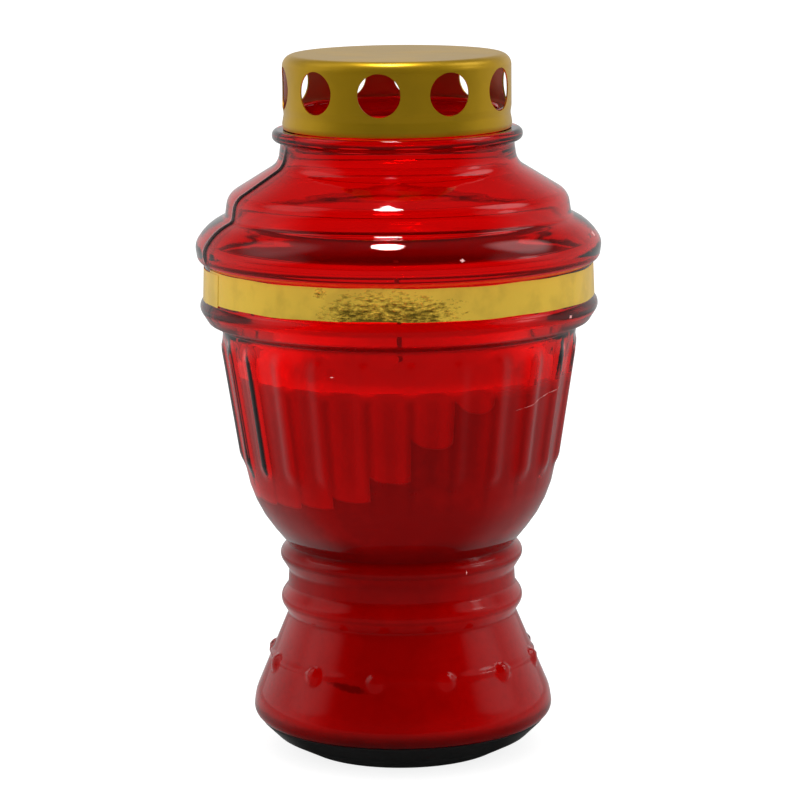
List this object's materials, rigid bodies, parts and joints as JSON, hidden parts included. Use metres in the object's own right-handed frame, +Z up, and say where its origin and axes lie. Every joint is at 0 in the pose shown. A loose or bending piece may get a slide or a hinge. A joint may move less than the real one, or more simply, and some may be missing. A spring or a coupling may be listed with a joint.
{
  "type": "sanctuary lamp",
  "caption": "Sanctuary lamp: ribbed red glass vessel on a dark foot, filled with wax around a wick, with a gold foil band and a vented gold lid that lifts off.",
  "frame": {"origin": "centre of the standing face of the foot, on the floor under the lamp's axis", "axes": "+Z up along the lamp's axis, -Y the side seen in the picture, +X to that side's right"},
  "size_m": [0.1334, 0.1334, 0.233],
  "materials": {
    "red_glass": "clear glossy red glass",
    "black_plastic": "smooth black plastic",
    "gold_lacquer": "satin gold lacquer on thin sheet metal",
    "gold_foil": "bright crinkled gold foil",
    "red_wax": "poured wax, matt, dyed by the glass round it",
    "cotton": "braided cotton",
    "tinplate": "thin tinplate"
  },
  "bodies": {
    "lamp": {"glass_vessel": "red_glass", "base_foot": "black_plastic", "foil_band": "gold_foil", "wax_fill": "red_wax", "wick": "cotton", "wick_sustainer": "tinplate"},
    "lid": {"vent_lid": "gold_lacquer"}
  },
  "joints": [
    {"name": "lid_lift", "type": "slide", "parent": "lamp", "child": "lid", "axis": [0, 0, 1], "range_m": [0, 0.06]}
  ]
}
